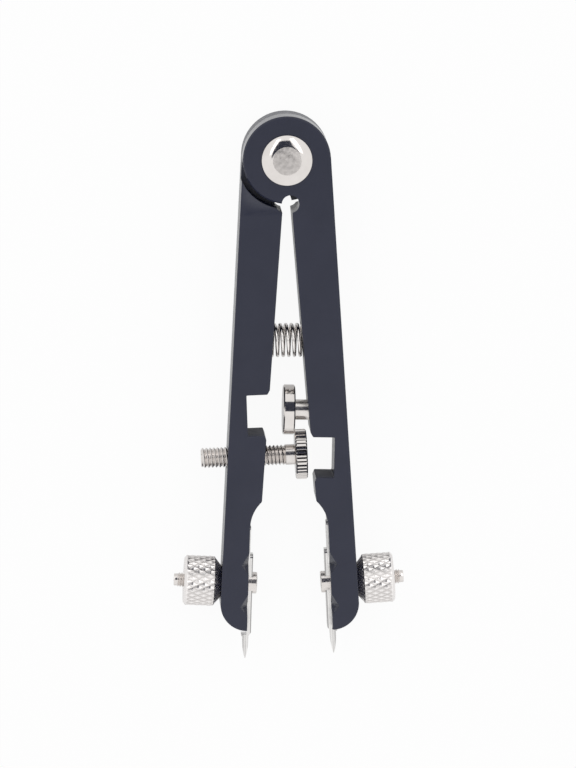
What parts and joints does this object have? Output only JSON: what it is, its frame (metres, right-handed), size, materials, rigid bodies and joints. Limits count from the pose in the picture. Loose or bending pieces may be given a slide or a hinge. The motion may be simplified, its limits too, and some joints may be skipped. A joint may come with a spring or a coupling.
{
  "type": "spring bar pliers",
  "caption": "Spring bar pliers with two black arms on a riveted lap joint, a coil spring, hooked stop wheels and forked tips clamped by knurled nuts.",
  "frame": {"origin": "centre of the rear rivet head's flat end, on the pivot axis", "axes": "+Z along the pivot axis towards the front, +Y from the tips towards the pivot end, +X to the right arm's side"},
  "size_m": [0.0556, 0.1322, 0.0156],
  "materials": {
    "black_anodised": "satin black anodised",
    "nickel": "nickel plated steel",
    "spring_wire": "bright spring steel",
    "tip_steel": "ground steel"
  },
  "bodies": {
    "left_arm": {"left_arm": "black_anodised", "pivot_rivet": "nickel", "pivot_washer": "nickel", "spring": "spring_wire", "left_tip": "tip_steel", "left_strip": "tip_steel", "left_seat_washer": "nickel"},
    "right_arm": {"right_arm": "black_anodised", "right_tip": "tip_steel", "right_strip": "tip_steel", "right_seat_washer": "nickel"},
    "lower_stop_stud": {"lower_stop_stud": "nickel"},
    "lower_stop_wheel": {"lower_stop_wheel": "nickel"},
    "upper_stop_stud": {"upper_stop_stud": "nickel"},
    "upper_stop_disc": {"upper_stop_disc": "nickel"},
    "left_post": {"left_post": "nickel"},
    "right_post": {"right_post": "nickel"},
    "left_nut": {"left_nut": "nickel"},
    "right_nut": {"right_nut": "nickel"}
  },
  "joints": [
    {"name": "arm_hinge", "type": "hinge", "parent": "left_arm", "child": "right_arm", "pos_m": [0, 0, 0.0077], "axis": [0, 0, -1], "range_deg": [0, 0.6], "stiffness_Nm_per_rad": 3.5, "springref_deg": -3.44, "deforming": ["spring"]},
    {"name": "lower_stop_slide", "type": "slide", "parent": "left_arm", "child": "lower_stop_stud", "axis": [0.9996, 0.0279, 0], "range_m": [0, 0.00025]},
    {"name": "lower_wheel_turn", "type": "hinge", "parent": "lower_stop_stud", "child": "lower_stop_wheel", "pos_m": [0, -0.0721, 0.0077], "axis": [0.9996, 0.0279, 0], "range_deg": [0, 101]},
    {"name": "upper_stop_slide", "type": "slide", "parent": "right_arm", "child": "upper_stop_stud", "axis": [0.9996, -0.0279, 0], "range_m": [-0.00225, 0]},
    {"name": "upper_disc_turn", "type": "hinge", "parent": "upper_stop_stud", "child": "upper_stop_disc", "pos_m": [0, -0.0611, 0.0077], "axis": [0.9996, -0.0279, 0], "range_deg": [-901, 0]},
    {"name": "left_post_slide", "type": "slide", "parent": "left_arm", "child": "left_post", "axis": [0.9984, -0.057, 0], "range_m": [0, 0.00075]},
    {"name": "left_nut_turn", "type": "hinge", "parent": "left_arm", "child": "left_nut", "pos_m": [-0.01991, -0.10273, 0.0077], "axis": [-0.9984, 0.057, 0], "range_deg": [0, 451]},
    {"name": "right_post_slide", "type": "slide", "parent": "right_arm", "child": "right_post", "axis": [-0.9984, -0.057, 0], "range_m": [0, 0.00075]},
    {"name": "right_nut_turn", "type": "hinge", "parent": "right_arm", "child": "right_nut", "pos_m": [0.01991, -0.10273, 0.0077], "axis": [0.9984, 0.057, 0], "range_deg": [0, 451]}
  ],
  "couplings": [
    {"joint": "lower_wheel_turn", "follows": "lower_stop_slide", "rad_per_m": 6981.3},
    {"joint": "upper_disc_turn", "follows": "upper_stop_slide", "rad_per_m": 6981.3},
    {"joint": "left_nut_turn", "follows": "left_post_slide", "rad_per_m": 10472},
    {"joint": "right_nut_turn", "follows": "right_post_slide", "rad_per_m": 10472}
  ]
}
